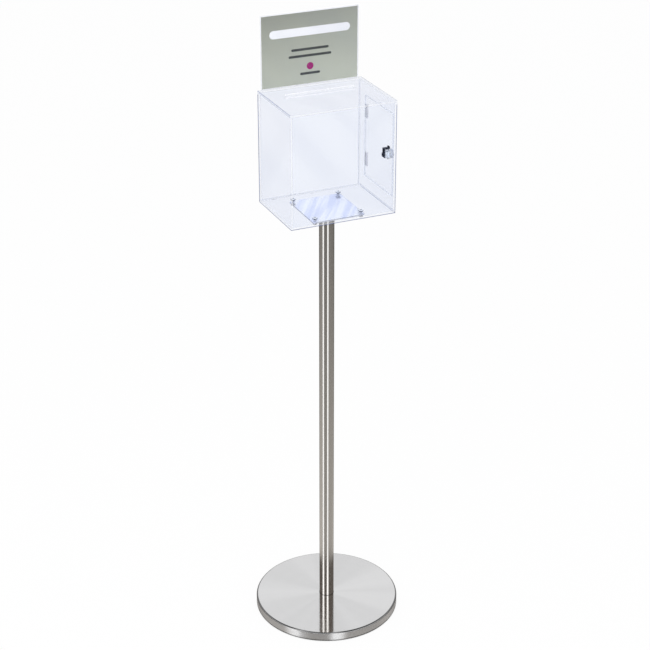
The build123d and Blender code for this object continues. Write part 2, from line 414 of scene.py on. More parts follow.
def spun_steel_material(colours):
    """Stainless with circular brushing about the stand's axis and fan highlights painted into its
    tone, with painted reflection darkening the rolled edge, painted shade along the hem and a painted
    contact shadow round the post's foot."""
    shader = new_shader("spun_stainless")
    x, y, z = shader.axes(shader.place())
    radius = shader.distance(x, y)
    around_x = x / (radius + 0.5 * MM)
    around_y = y / (radius + 0.5 * MM)
    # Painted highlights: broad fans round the axis stand in for the fan-shaped highlights of the
    # brushing.
    painted_fans = shader.noise(shader.point(around_x, around_y, 0.0), 1.7, 2.0, 0.4)
    ring_place = shader.point(radius * 900.0, around_x * 0.8, around_y * 0.8 + z * 900.0)
    rings = shader.noise(ring_place, 1.0, 3.0)
    wide_rings = shader.noise(shader.point(radius * 60.0, 0.0, z * 60.0))
    # The tone is partly painted fan highlights and partly the grain of the brushing.
    tone = shader.ramp(painted_fans, 0.3, 0.7) * 0.7 + rings * 0.12 + wide_rings * 0.18
    low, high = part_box("base_cover")
    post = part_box("post_tube")[1].x
    side = shader.ramp(z, high.z - 4.0 * MM, high.z - 1.5 * MM, 1.0, 0.0)
    # Painted reflection: the outer top of the rolled edge is darkened.
    roll = shader.ramp(radius, high.x - 3.5 * MM, high.x - 2.8 * MM)
    roll = roll * shader.ramp(z, high.z - 2.3 * MM, high.z - 1.5 * MM)
    # Painted shade along the hem, and a painted contact shadow round the post's foot.
    hem = shader.ramp(z, low.z + 1.0 * MM, low.z + 3.0 * MM, 1.0, 0.0)
    foot = shader.ramp(radius, post, post + 1.4 * MM, 1.0, 0.0)
    dark = shader.highest(roll, hem, foot)
    ground = shader.tones(tone, colours.steel, 0.93, 1.05)
    return shader.finish(
        Base_Color=shader.mix(dark, ground, shade(colours.steel, 0.25)),
        Metallic=1.0,
        Roughness=rings * 0.015 + side * 0.22 + 0.115,
        Anisotropic=0.93,
        Anisotropic_Rotation=0.25,
        Normal=shader.bump(rings, 0.01 * MM, 0.05),
    )


def post_steel_material(colours):
    """Stainless tube with fine brushing around it and a painted contact shadow as a dark line at its
    foot.
    """
    shader = new_shader("post_stainless")
    x, y, z = shader.axes(shader.place())
    lines = shader.noise(shader.point(x * 12.0, y * 12.0, z * 1400.0))
    clouds = shader.noise(shader.point(x * 20.0, y * 20.0, z * 5.0))
    ground = shader.tones(lines * 0.4 + clouds * 0.6, colours.post, 0.96, 1.04)
    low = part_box("post_tube")[0].z
    # Painted contact shadow at the post's foot.
    foot = shader.ramp(z, low, low + 1.6 * MM, 1.0, 0.0)
    return shader.finish(
        Base_Color=shader.mix(foot, ground, shade(colours.post, 0.3)),
        Metallic=1.0,
        Roughness=lines * 0.01 + 0.165,
        Anisotropic=0.95,
        Anisotropic_Rotation=0.25,
    )


def plate_steel_material(colours):
    """Flat plate with long streaks of painted reflection, pale and dimmer, and a painted glow that
    brightens it where it is lit through the sheet.
    """
    shader = new_shader("plate_stainless")
    x, y, z = shader.axes(shader.place())
    along = x * 0.55 + y * 0.83
    across = x * 0.83 - y * 0.55
    # Painted reflection: the streaks stand in for the lights mirrored in the plate, with a little real
    # grain.
    streaks = shader.noise(shader.point(across * 55.0, along * 3.0, 0.0), 1.0, 3.0, 0.6)
    grain = shader.noise(shader.point(across * 1500.0, along * 12.0, z * 40.0))
    tone = shader.ramp(streaks, 0.4, 0.6) * 0.9 + grain * 0.1
    colour = shader.mix(tone, colours.plate_painted_dim, colours.plate)
    return shader.finish(
        Base_Color=colour,
        Metallic=0.6,
        Roughness=grain * 0.06 + 0.1,
        # Painted glow in the plate's own colour.
        Emission_Color=colour,
        Emission_Strength=0.17,
        Normal=shader.bump(grain, 0.01 * MM, 0.4),
    )


def mottled_material(name, colour, tones, grains, rough, bump, relief=0.0, **sockets):
    """A plain finish whose colour varies with one grain and whose roughness with a finer one. Its
    bumps follow the finer grain, with a share of the other as relief."""
    shader = new_shader(name)
    place = shader.place()
    mottle, fine = (shader.noise(place, *grain) for grain in grains)
    height = mottle * relief + fine * (1.0 - relief)
    return shader.finish(
        Base_Color=shader.tones(mottle, colour, *tones),
        Roughness=fine * rough[0] + rough[1],
        Normal=shader.bump(height, *bump),
        **sockets,
    )


def small_metal_material(name, colour, metallic, roughness, glow=0.0):
    """Plated or satin metal for fittings, with a fine mottle, and a painted glow where one is given.
    """
    rough = (roughness * 0.5, roughness * 0.75)
    grains = ((220.0, 3.0), (1980.0,))
    sockets = {"Metallic": metallic, "Emission_Color": colour, "Emission_Strength": glow}
    return mottled_material(name, colour, (0.88, 1.08), grains, rough, (0.01 * MM, 0.3), **sockets)


def cast_iron_material(colours):
    """Painted rough casting."""
    grains = ((160.0, 4.0, 0.6), (900.0, 3.0))
    bump = (0.6 * MM, 0.7)
    return mottled_material(
        "painted_cast_iron", colours.iron, (0.75, 1.25), grains, (0.25, 0.5), bump, 0.7
    )


def rubber_material(colours):
    """Matt black sheet rubber with dust and a fine fabric-like grain."""
    grains = ((30.0, 3.0), (1200.0, 3.0))
    bump = (0.1 * MM, 0.6)
    return mottled_material(
        "sheet_rubber", colours.rubber, (0.8, 1.6), grains, (0.2, 0.7), bump, Specular_IOR_Level=0.3
    )


def screw_material(colours, head_foot):
    """Plated screws, with painted light on top and painted shade darkening the sides of their heads.
    """
    shader = new_shader("plated_screw")
    place = shader.place()
    mottle = shader.noise(place, 400.0, 3.0)
    shank = shader.ramp(shader.axes(place)[2], head_foot - 0.2 * MM, head_foot, 1.0, 0.0)
    # Painted light and shade: faces turned up are bright chrome, and the head's sides take a dark
    # colour.
    up = shader.axes(shader.node("ShaderNodeTexCoord", output="Normal"))[2]
    top = shader.highest(shader.ramp(up, 0.2, 0.6), shank)
    return shader.finish(
        Base_Color=shader.mix(top, colours.screw_painted_shade, colours.chrome),
        Metallic=top * -0.35 - shank * 0.5 + 1.0,
        Roughness=mottle * 0.06 + 0.06,
        Normal=shader.bump(mottle, 0.01 * MM, 0.3),
    )


def card_material(colours):
    """Satin printed card: a soft grey-green ground with plain marks and no words."""
    shader = new_shader("printed_card")
    low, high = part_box("sign_card")
    place = shader.place()
    x, _, z = shader.axes(place)
    upward = shader.ramp(z, low.z, high.z, smooth=False)
    leftward = shader.ramp(x, low.x, high.x, 0.15, 0.0, False)
    fade = upward * 0.85 + leftward
    fibres = shader.noise(place, 1800.0, 3.0)
    colour = shader.mix(fade, colours.card_low, colours.card_high)
    colour = shader.mix(fibres * 0.12, colour, WHITE)
    # Each mark's colour, height as a share of the card's, and half size in mm
    marks = (
        (colours.card_title, 0.735, 88.0, 8.5),
        (colours.card_text, 0.487, 41.0, 2.6),
        (colours.card_text, 0.395, 47.0, 2.6),
        (colours.card_accent, 0.245, 7.5, 7.5),
        (colours.card_text, 0.145, 22.0, 2.6),
    )
    for tone, level, half_x, half_z in marks:
        middle = ((low.x + high.x) / 2, low.z + level * (high.z - low.z))
        mask = rounded_bar(shader, (x, z), middle, (half_x * MM, half_z * MM))
        colour = shader.mix(mask, colour, tone)
    return shader.finish(
        Base_Color=colour,
        Roughness=fibres * 0.1 + 0.4,
        Specular_IOR_Level=0.35,
        Normal=shader.bump(fibres, 0.03 * MM, 0.3),
    )


# Pieces


def turned(profile, closed, angle, steps, **more):
    """A bmesh turned about the upright axis from (radius, height) points."""
    made = bmesh.new()
    verts = [made.verts.new((radius, 0.0, height)) for radius, height in profile]
    pairs = list(zip(verts, verts[1:]))
    if closed:
        pairs.append((verts[-1], verts[0]))
    edges = [made.edges.new(pair) for pair in pairs]
    bmesh.ops.spin(
        made,
        geom=verts + edges,
        cent=(0.0, 0.0, 0.0),
        axis=(0.0, 0.0, 1.0),
        angle=angle,
        steps=steps,
        **more,
    )
    bmesh.ops.remove_doubles(made, verts=made.verts, dist=WELD)
    return made


def spun(profile, steps, closed=True):
    """A bmesh turned all the way round."""
    made = turned(profile, closed, math.tau, steps, use_merge=True)
    bmesh.ops.recalc_face_normals(made, faces=made.faces)
    return made


def level_edges(made, height):
    """The edges at one height."""
    return [
        edge for edge in made.edges if all(abs(vert.co.z - height) < NEAR for vert in edge.verts)
    ]


def ring_edges(made, radius, height):
    """The turned edges at one radius and height."""
    return [
        edge
        for edge in level_edges(made, height)
        if all(abs(vert.co.xy.length - radius) < NEAR for vert in edge.verts)
    ]


def bevel(made, geom, radius, segments, affect="EDGES", clamp=False):
    """Round edges, or the corners of a flat face."""
    bmesh.ops.bevel(
        made,
        geom=geom,
        offset=radius,
        affect=affect,
        segments=segments,
        profile=0.5,
        material=-1,
        clamp_overlap=clamp,
    )


def soften(made, radius, segments=2):
    """Round every sharp edge a little."""
    edges = [edge for edge in made.edges if edge.calc_face_angle(0.0) > SHARP_ANGLE]
    bevel(made, edges, radius, segments, clamp=True)


def move_verts(made, grown, shift):
    """Move the vertices that an extrusion gave, and list them."""
    verts = [item for item in grown["geom"] if isinstance(item, bmesh.types.BMVert)]
    bmesh.ops.translate(made, verts=verts, vec=shift)
    return verts


def thicken(made, shift):
    """Give a flat face its thickness."""
    move_verts(made, bmesh.ops.extrude_face_region(made, geom=made.faces[:]), shift)
    bmesh.ops.recalc_face_normals(made, faces=made.faces)


def outline(made, middle, size, corner=0.0):
    """Add a rectangle with round corners, flat at height 0. Full corners make a slot or a circle."""
    stretch = Matrix.Diagonal((size[0], size[1], 1.0, 1.0))
    spot = Matrix.Translation((middle[0], middle[1], 0.0)) @ stretch
    grown = bmesh.ops.create_grid(made, x_segments=1, y_segments=1, size=0.5, matrix=spot)
    if corner:
        bevel(made, grown["verts"], corner, CORNER_STEPS, "VERTICES")


def flat_shape(low, high, turn, corner=0.0, holes=()):
    """A plate between two corners, with holes given as (middle, size, corner) across it."""
    made = bmesh.new()
    near = turn.inverted() @ low
    far = turn.inverted() @ high
    middle = (near + far) / 2
    size = far - near
    outline(made, middle, size, corner)
    for hole in holes:
        outline(made, *hole)
    bmesh.ops.delete(made, geom=made.faces[:], context="FACES_ONLY")
    bmesh.ops.remove_doubles(made, verts=made.verts, dist=WELD)
    bmesh.ops.triangle_fill(made, edges=made.edges[:], use_beauty=True)
    bmesh.ops.translate(made, verts=made.verts, vec=(0.0, 0.0, near.z))
    thicken(made, (0.0, 0.0, size.z))
    bmesh.ops.transform(made, matrix=turn.to_4x4(), verts=made.verts)
    return made


def softened_copy(name, radius, material, segments=2):
    """Replace a small CAD node by a copy whose sharp edges are rounded."""
    made = bmesh.new()
    made.from_mesh(NODES[name].data)
    bmesh.ops.remove_doubles(made, verts=made.verts, dist=WELD)
    bmesh.ops.dissolve_limit(made, angle_limit=FLAT_ANGLE, verts=made.verts, edges=made.edges)
    soften(made, radius, segments)
    piece(name + "_finished", made, [material], [name])


def mesh_from(name, made, materials):
    """Turn a bmesh into a mesh with materials."""
    mesh = bpy.data.meshes.new(name)
    made.to_mesh(mesh)
    made.free()
    for material in materials:
        mesh.materials.append(material)
    return mesh


def add_object(name, data):
    """A new object in the scene."""
    made_object = bpy.data.objects.new(name, data)
    bpy.context.scene.collection.objects.link(made_object)
    return made_object


def piece(name, made, materials, replaces, sharp=SHARP_ANGLE):
    """Turn a bmesh into a piece that rides on the body of the nodes it replaces."""
    mesh = mesh_from(name, made, materials)
    mesh.shade_smooth()
    mesh.set_sharp_from_angle(angle=sharp)
    made_object = add_object(name, mesh)
    body = NODES[replaces[0]]["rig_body"]
    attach(made_object, body)
    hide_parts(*replaces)


def dress(material, *names):
    """Give CAD nodes a material."""
    for name in names:
        mesh = NODES[name].data
        mesh.materials.clear()
        mesh.materials.append(material)


# Settings


def length(name, description, millimetres):
    """A length among the settings, given in millimetres."""
    return FloatProperty(
        name=name, description=description, default=millimetres * MM, unit="LENGTH", precision=5
    )


def count(name, description, default):
    """A number of steps among the settings."""
    return IntProperty(name=name, description=description, default=default, subtype="UNSIGNED")


def tint(name, description, default):
    """A colour among the settings."""
    return FloatVectorProperty(
        name=name, description=description, default=default, subtype="COLOR", min=0.0, max=1.0
    )


class BallotBoxSizes(bpy.types.PropertyGroup):
    """Sizes that finish the shapes."""

    edge_radius: length("Base edge radius", "Rolled edge of the base cover", 3.5)
    cover_sheet: length("Base cover sheet", "Thickness of the base cover", 1.0)
    bolt_hole: length("Bolt hole radius", "Hole in the base cover under the post", 6.5)
    post_wall: length("Post wall", "Wall of the post's tube", 1.5)
    plate_corner: length("Plate corner radius", "Corners of the plate under the box", 5.0)
    screw_spacing_x: length("Screw spacing across", "Between screws, left to right", 102.0)
    screw_spacing_y: length("Screw spacing deep", "Between screws, front to back", 112.0)
    screw_radius: length("Screw radius", "Shanks of the plate screws", 2.5)
    screw_gap: length("Screw hole gap", "Clearance round the plate screws", 0.25)
    screw_head: length("Screw head radius", "Domed heads of the plate screws", 5.2)
    screw_dome: length("Screw dome radius", "Rounding of the screw heads", 2.2)
    socket_flats: length("Socket size", "Hexagon socket across its flats", 3.0)
    socket_depth: length("Socket depth", "Depth of the hexagon socket", 1.6)
    polish: length("Sheet edge rounding", "Rounding on the clear sheet's edges", 0.7)
    seam: length("Bonded seam", "Half of the seam between bonded sheets", 0.03)
    slot_length: length("Slot length", "Length of the lid's slot", 150.0)
    slot_width: length("Slot width", "Width of the lid's slot", 10.0)
    slot_from_back: length("Slot from rear", "Slot's middle from the lid's rear edge", 52.0)
    door_gap: length("Door gap", "Gap round the door", 1.0)
    barrel_radius: length("Lock barrel radius", "Threaded barrel of the lock", 8.0)
    barrel_gap: length("Lock hole gap", "Clearance round the barrel", 0.15)
    thread_pitch: length("Thread pitch", "Pitch of the barrel's thread", 1.25)
    thread_depth: length("Thread depth", "Depth of the barrel's thread", 0.7)
    flange_rounding: length("Flange rounding", "Rounding of the lock's flange", 0.8)
    core_radius: length("Lock plug radius", "Radius of the turning plug", 5.4)
    core_face: length("Lock plug face radius", "Radius of the plug's face", 6.5)
    core_face_depth: length("Lock plug face depth", "Thickness of the plug's face", 1.2)
    core_gap: length("Lock plug gap", "Running gap round the plug", 0.05)
    core_tail: length("Lock plug tail", "Side of the square that carries the cam", 6.0)
    keyway_width: length("Keyway width", "Width of the keyway", 1.6)
    keyway_height: length("Keyway height", "Height of the keyway", 7.0)
    keyway_depth: length("Keyway depth", "Depth of the keyway", 9.0)
    cam_thickness: length("Cam thickness", "Thickness of the lock's cam", 1.5)
    holder_sheet: length("Pocket sheet", "Thickness of the sign pocket's sheet", 1.5)
    holder_fold: length("Pocket fold radius", "Fold along the pocket's foot", 1.4)
    round_steps: count("Round steps", "Steps round the base and the post", 160)
    small_steps: count("Small round steps", "Steps round the screws and the lock", 48)


class BallotBoxColours(bpy.types.PropertyGroup):
    """Colours of the finishes."""

    acrylic: tint("Acrylic", "Light that passes one face of the clear sheet", (0.973, 0.981, 0.999))
    # Painted light: a lighter tint that the camera sees in the lid and upper left wall.
    acrylic_painted_light: tint("Lighter acrylic", "The same, in the lid and left wall", (0.989, 0.992, 1.0))
    sheet_edge: tint("Sheet edge", "Narrow polished faces of the clear sheet", (0.95, 0.96, 0.99))
    # Painted shade: a greyer copy of the edge colour for the left and right narrow faces.
    sheet_side_painted_shade: tint("Sheet side edge", "Narrow faces at its left and right", (0.72, 0.75, 0.85))
    sheet_seam: tint("Sheet seam", "Fine rounding along the inner seams", (0.42, 0.46, 0.6))
    # Painted reflection: dark blue in place of the refraction along the box's outline.
    sheet_line_painted_reflection: tint("Sheet outline", "Fine rounding along the outer edges", (0.1, 0.14, 0.32))
    sheet_dot: tint("Sheet edge dots", "Small dark blue dots in the rounding", (0.02, 0.05, 0.2))
    # Painted highlight and glow round the slot's rim.
    slot_light: tint("Slot's rim", "Light caught round the rim of the slot", (0.98, 0.98, 1.0))
    steel: tint("Base steel", "Spun stainless of the base cover", (0.68, 0.68, 0.685))
    post: tint("Post steel", "Brushed stainless of the post", (0.7, 0.69, 0.67))
    # Painted reflection: the plate's pale colour and its dimmer streaks stand in for mirrored lights.
    plate: tint("Plate steel", "Pale plate under the box", (0.97, 0.98, 1.0))
    plate_painted_dim: tint("Plate streaks", "Dimmer streaks of the plate", (0.73, 0.77, 0.93))
    chrome: tint("Chrome", "Bright plating of the lock and screws", (0.86, 0.9, 0.97))
    # Painted shade on the sides of the screw heads.
    screw_painted_shade: tint("Screw sides", "Darkened sides of the plate screws", (0.1, 0.12, 0.19))
    # Painted dark: near-black for the cam and its screw in place of dark reflections, and for the
    # keyway as painted shade.
    cam: tint("Cam", "Darker zinc of the lock's cam and its screw", (0.035, 0.04, 0.055))
    zinc: tint("Zinc", "Zinc plating of the hidden fittings", (0.6, 0.61, 0.64))
    hinge: tint("Hinge steel", "Satin steel of the hinges", (0.92, 0.91, 0.91))
    iron: tint("Cast iron", "Paint on the base weight", (0.05, 0.05, 0.052))
    rubber: tint("Rubber", "Sheet rubber under the base", (0.02, 0.02, 0.021))
    card_low: tint("Card, foot", "Ground of the card at its lower edge", (0.55, 0.577, 0.468))
    card_high: tint("Card, top", "Ground of the card at its upper edge", (0.26, 0.27, 0.214))
    card_title: tint("Card title bar", "The large pale bar", (0.95, 0.95, 0.95))
    card_text: tint("Card text bars", "The thin dark bars", (0.06, 0.065, 0.06))
    card_accent: tint("Card accent", "The small round mark", (0.35, 0.015, 0.16))


def settings(context):
    """The scene's sizes and colours."""
    return context.scene.ballotbox_sizes, context.scene.ballotbox_colours


# Operators


class BALLOTBOX_OT_base(bpy.types.Operator):
    """Build the spun base cover and finish the parts under it"""

    bl_idname = "ballotbox.base"
    bl_label = "Base"

    def execute(self, context):
        sizes, colours = settings(context)
        low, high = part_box("base_cover")
        radius = high.x
        inner = radius - sizes.cover_sheet
        under = high.z - sizes.cover_sheet
        roll = sizes.edge_radius
        outside = [(radius, low.z), (radius, high.z - 2 * roll), (radius, high.z)]
        top = [(radius - 2 * roll, high.z), (sizes.bolt_hole, high.z)]
        inside = [(sizes.bolt_hole, under), (inner, under), (inner, low.z)]
        cover = spun(outside + top + inside, sizes.round_steps)
        bevel(cover, ring_edges(cover, radius, high.z), roll, CORNER_STEPS)
        bevel(cover, ring_edges(cover, inner, under), roll - sizes.cover_sheet, ROUNDING_STEPS)
        piece("base_cover_shell", cover, [spun_steel_material(colours)], ["base_cover"])
        dress(cast_iron_material(colours), "base_weight")
        dress(rubber_material(colours), "base_pad")
        zinc = small_metal_material("zinc_plate", colours.zinc, 1.0, 0.3)
        dress(zinc, "base_bolt", "foot_plug")
        return {"FINISHED"}


def socket_screw(sizes, x, y, floor_top, low, high):
    """A domed screw with a hexagon socket, its shank down through the plate."""
    chamfer = 0.4 * MM
    rim = 0.8 * (sizes.screw_head - sizes.screw_dome)
    radius = sizes.screw_radius
    shank = [(0.0, low), (radius - chamfer, low), (radius, low + chamfer), (radius, floor_top)]
    head = [(sizes.screw_head, floor_top), (sizes.screw_head, high), (rim, high)]
    screw = spun(shank + head, sizes.small_steps, closed=False)
    bevel(screw, ring_edges(screw, sizes.screw_head, high), sizes.screw_dome, DOME_STEPS)
    corner = sizes.socket_flats / math.sqrt(3)
    spot = Matrix.Translation((0.0, 0.0, high))
    grown = bmesh.ops.create_circle(screw, segments=6, radius=corner, matrix=spot)
    socket = list({edge for vert in grown["verts"] for edge in vert.link_edges})
    bmesh.ops.bridge_loops(screw, edges=socket + ring_edges(screw, rim, high))
    sunk = bmesh.ops.extrude_edge_only(screw, edges=socket)
    verts = move_verts(screw, sunk, (0.0, 0.0, -sizes.socket_depth))
    bmesh.ops.contextual_create(screw, geom=verts)
    bmesh.ops.recalc_face_normals(screw, faces=screw.faces)
    bmesh.ops.translate(screw, verts=screw.verts, vec=(x, y, 0.0))
    return screw


def joined(parts):
    """Several bmeshes as one."""
    whole = bmesh.new()
    for part in parts:
        mesh = mesh_from("part", part, ())
        whole.from_mesh(mesh)
        bpy.data.meshes.remove(mesh)
    return whole


def screw_places(sizes):
    """Where the plate screws stand."""
    half_x = sizes.screw_spacing_x / 2
    half_y = sizes.screw_spacing_y / 2
    return [(x, y) for x in (-half_x, half_x) for y in (-half_y, half_y)]


def screw_holes(sizes):
    """The holes for the plate screws, as flat_shape takes them."""
    bore = 2 * (sizes.screw_radius + sizes.screw_gap)
    return [(place, (bore, bore), bore / 2) for place in screw_places(sizes)]


class BALLOTBOX_OT_post(bpy.types.Operator):
    """Build the post, its top plate and the fasteners"""

    bl_idname = "ballotbox.post"
    bl_label = "Post and plate"

    def execute(self, context):
        sizes, colours = settings(context)
        low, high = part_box("post_tube")
        inner = high.x - sizes.post_wall
        profile = [(high.x, low.z), (high.x, high.z), (inner, high.z), (inner, low.z)]
        tube = spun(profile, sizes.round_steps)
        piece("post_tube_brushed", tube, [post_steel_material(colours)], ["post_tube"])
        low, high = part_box("top_plate")
        plate = flat_shape(low, high, ACROSS_Z, sizes.plate_corner, screw_holes(sizes))
        soften(plate, 0.4 * MM)
        material = plate_steel_material(colours)
        piece("top_plate_brushed", plate, [material], ["top_plate"], FACET_ANGLE)
        low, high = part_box("plate_screws")
        floor_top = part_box("bottom_panel")[1].z
        screw = screw_material(colours, floor_top)
        screws = (socket_screw(sizes, *spot, floor_top, low.z, high.z) for spot in screw_places(sizes))
        piece("domed_screws", joined(screws), [screw], ["plate_screws"])
        softened_copy("plate_nuts", 0.35 * MM, bpy.data.materials["zinc_plate"])
        return {"FINISHED"}


def acrylic_sheet(sizes, name, turn, holes=()):
    """A sheet of the box with rounded edges, in place of its plain CAD node."""
    low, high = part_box(name)
    seam = Vector([sizes.seam] * 3)
    made = flat_shape(low + seam, high - seam, turn, holes=holes)
    soften(made, sizes.polish)
    finish_sheet(name, made, turn)


def finish_sheet(name, made, turn):
    """Give a sheet's broad, narrow and rounded faces their own looks."""
    thickness = turn @ Vector((0.0, 0.0, 1.0))
    for face in made.faces:
        lean = abs(face.normal.dot(thickness))
        if lean > ALONG:
            look = BROAD
        elif lean >= ASIDE:
            look = ROUNDED
        else:
            # Narrow faces at left and right take the greyer look, as painted shade.
            look = SIDE if abs(face.normal.x) > ALONG else NARROW
        face.material_index = look
    looks = [bpy.data.materials[look] for look in SHEET_LOOKS]
    piece(name + "_sheet", made, looks, [name], FACET_ANGLE)


class BALLOTBOX_OT_box(bpy.types.Operator):
    """Build the bonded sheets of the box"""

    bl_idname = "ballotbox.box"
    bl_label = "Box"

    def execute(self, context):
        sizes, colours = settings(context)
        clear_sheet_material(colours, sizes)
        sheet_edge_material("polished_edge", colours.sheet_edge, colours.sheet_line_painted_reflection, 0.36)
        sheet_line_material(colours, sizes)
        # Painted shade: the left and right narrow faces are a greyer copy of the polished edge.
        sheet_edge_material("side_edge_painted_shade", colours.sheet_side_painted_shade, colours.sheet_line_painted_reflection, 0.24)
        acrylic_sheet(sizes, "bottom_panel", ACROSS_Z, screw_holes(sizes))
        slot = (slot_middle(sizes), (sizes.slot_length, sizes.slot_width), sizes.slot_width / 2)
        acrylic_sheet(sizes, "top_panel", ACROSS_Z, [slot])
        acrylic_sheet(sizes, "front_panel", ACROSS_Y)
        acrylic_sheet(sizes, "back_panel", ACROSS_Y)
        acrylic_sheet(sizes, "left_panel", ACROSS_X)
        low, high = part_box("door_panel")
        opening = high - low + Vector((0.0, 2 * sizes.door_gap, 2 * sizes.door_gap))
        acrylic_sheet(sizes, "right_panel", ACROSS_X, [(((low + high) / 2).yz, opening.yz, 0.0)])
        return {"FINISHED"}


def threaded(sizes, start, end):
    """The open surface of a screw thread about the upright axis, cut level at both ends."""
    pitch = sizes.thread_pitch
    crest = sizes.barrel_radius
    root = crest - sizes.thread_depth
    turns = math.ceil((end - start) / pitch) + 3
    shares = ((root, 0.0), (crest, 0.4), (crest, 0.5), (root, 0.9), (root, 1.0))
    profile = [(radius, start + (share - 2.0) * pitch) for radius, share in shares]
    rise = (0.0, 0.0, pitch / sizes.small_steps)
    made = turned(profile, False, math.tau * turns, sizes.small_steps * turns, dvec=rise)
    for level, side in ((start, -1.0), (end, 1.0)):
        bmesh.ops.bisect_plane(
            made,
            geom=made.verts[:] + made.edges[:] + made.faces[:],
            plane_co=(0.0, 0.0, level),
            plane_no=(0.0, 0.0, side),
            clear_outer=True,
        )
    return made


def lay_on_lock_axis(made, middle):
    """Turn a shape from the upright axis to the lock's axis."""
    place = Matrix.Translation((0.0, middle.y, middle.z)) @ ACROSS_X.to_4x4()
    bmesh.ops.transform(made, matrix=place, verts=made.verts)


def lock_housing(sizes):
    """Flange, threaded barrel and bore of the lock."""
    low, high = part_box("lock_body")
    door_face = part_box("door_panel")[1].x
    core = sizes.core_radius + sizes.core_gap
    seat = sizes.core_face + sizes.core_gap
    rim = (high.z - low.z) / 2
    step = high.x - sizes.core_face_depth
    bore = [(core, low.x), (core, step), (seat, step), (seat, high.x)]
    shell = spun(bore + [(rim, high.x), (rim, door_face)], sizes.small_steps, closed=False)
    bevel(shell, ring_edges(shell, rim, high.x), sizes.flange_rounding, ROUNDING_STEPS)
    whole = joined([shell, threaded(sizes, low.x, door_face)])
    for level in (low.x, door_face):
        rims = [edge for edge in level_edges(whole, level) if edge.is_boundary]
        bmesh.ops.bridge_loops(whole, edges=rims)
    bmesh.ops.recalc_face_normals(whole, faces=whole.faces)
    if whole.calc_volume(signed=True) < 0.0:
        bmesh.ops.reverse_faces(whole, faces=whole.faces)
    lay_on_lock_axis(whole, (low + high) / 2)
    return whole


def paint_keyway_shade(made, sizes, end):
    """Give the keyway's walls and the face at its end the second material, a dark one as painted shade
    in the recess.
    """
    reach_x = sizes.keyway_width / 2 + WELD
    reach_y = sizes.keyway_height / 2 + WELD
    for face in made.faces:
        middle = face.calc_center_median()
        wall = abs(face.normal.z) < 0.5 and abs(middle.x) < reach_x and abs(middle.y) < reach_y
        floor = face.normal.z > 0.5 and abs(middle.z - end) < WELD
        face.material_index = 1 if wall or floor else 0


def lock_plug(sizes):
    """The plug with its keyway, in four solids that touch end to end."""
    low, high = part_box("lock_core")
    front = high.x - sizes.core_face_depth
    keyway_end = high.x - sizes.keyway_depth
    tail = low.x + sizes.cam_thickness
    keyway = [((0.0, 0.0), (sizes.keyway_width, sizes.keyway_height), 0.0)]
    face = sizes.core_face
    shaft = sizes.core_radius
    stages = (
        (front, high.x, face, face, keyway),
        (keyway_end, front, shaft, shaft, keyway),
        (tail, keyway_end, shaft, shaft, ()),
        (low.x, tail, sizes.core_tail / 2, 0.0, ()),
    )
    parts = []
    for start, end, reach, corner, holes in stages:
        near = Vector((-reach, -reach, start))
        far = Vector((reach, reach, end))
        parts.append(flat_shape(near, far, ACROSS_Z, corner, holes))
    soften(parts[0], 0.15 * MM)
    whole = joined(parts)
    paint_keyway_shade(whole, sizes, keyway_end)
    lay_on_lock_axis(whole, (low + high) / 2)
    return whole


class BALLOTBOX_OT_door(bpy.types.Operator):
    """Build the door, its hinges and its lock"""

    bl_idname = "ballotbox.door"
    bl_label = "Door"

    def execute(self, context):
        sizes, colours = settings(context)
        low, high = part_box("lock_body")
        bore = sizes.barrel_radius + sizes.barrel_gap
        hole = (((low + high) / 2).yz, (2 * bore, 2 * bore), bore)
        acrylic_sheet(sizes, "door_panel", ACROSS_X, [hole])
        # Painted glow: the hinges glow faintly to look lighter.
        satin = small_metal_material("satin_hinge", colours.hinge, 0.1, 0.35, 0.09)
        softened_copy("hinge_wall_leaves", 0.15 * MM, satin)
        softened_copy("hinge_door_leaves", 0.15 * MM, satin)
        dress(bpy.data.materials["zinc_plate"], "hinge_pins")
        # Painted dark: the cam and its screw take a near-black in place of dark reflections, and the
        # keyway's walls take it as painted shade.
        dark = small_metal_material("painted_dark_zinc", colours.cam, 1.0, 0.2)
        softened_copy("lock_cam", 0.2 * MM, dark)
        softened_copy("cam_screw", 0.2 * MM, dark)
        # Painted glow: the chrome glows faintly to look brighter.
        chrome = small_metal_material("bright_chrome", colours.chrome, 0.6, 0.08, 0.12)
        piece("lock_housing", lock_housing(sizes), [chrome], ["lock_body"])
        softened_copy("lock_nut", 0.5 * MM, chrome, segments=3)
        piece("lock_plug_front", lock_plug(sizes), [chrome, dark], ["lock_core"])
        return {"FINISHED"}


class BALLOTBOX_OT_sign(bpy.types.Operator):
    """Build the sign pocket and finish its card"""

    bl_idname = "ballotbox.sign"
    bl_label = "Sign"

    def execute(self, context):
        sizes, colours = settings(context)
        low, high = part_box("sign_holder")
        wall = sizes.holder_sheet
        near = low.y + wall
        far = high.y - wall
        foot = low.z + wall
        outside = [(low.y, high.z), (low.y, low.z), (high.y, low.z), (high.y, high.z)]
        inside = [(far, high.z), (far, foot), (near, foot), (near, high.z)]
        pocket = bmesh.new()
        verts = [pocket.verts.new((low.x, y, z)) for y, z in outside + inside]
        pocket.faces.new(verts)
        bevel(pocket, verts[1:3], sizes.holder_fold, FOLD_STEPS, "VERTICES")
        thicken(pocket, (high.x - low.x, 0.0, 0.0))
        soften(pocket, 0.25 * MM)
        finish_sheet("sign_holder", pocket, ACROSS_Y)
        dress(card_material(colours), "sign_card")
        return {"FINISHED"}


class BALLOTBOX_OT_stage(bpy.types.Operator):
    """Make the floor, the light and the camera"""

    bl_idname = "ballotbox.stage"
    bl_label = "Stage"

    def execute(self, context):
        make_floor()
        make_world()
        make_lamp()
        make_camera()
        return {"FINISHED"}


# Stage

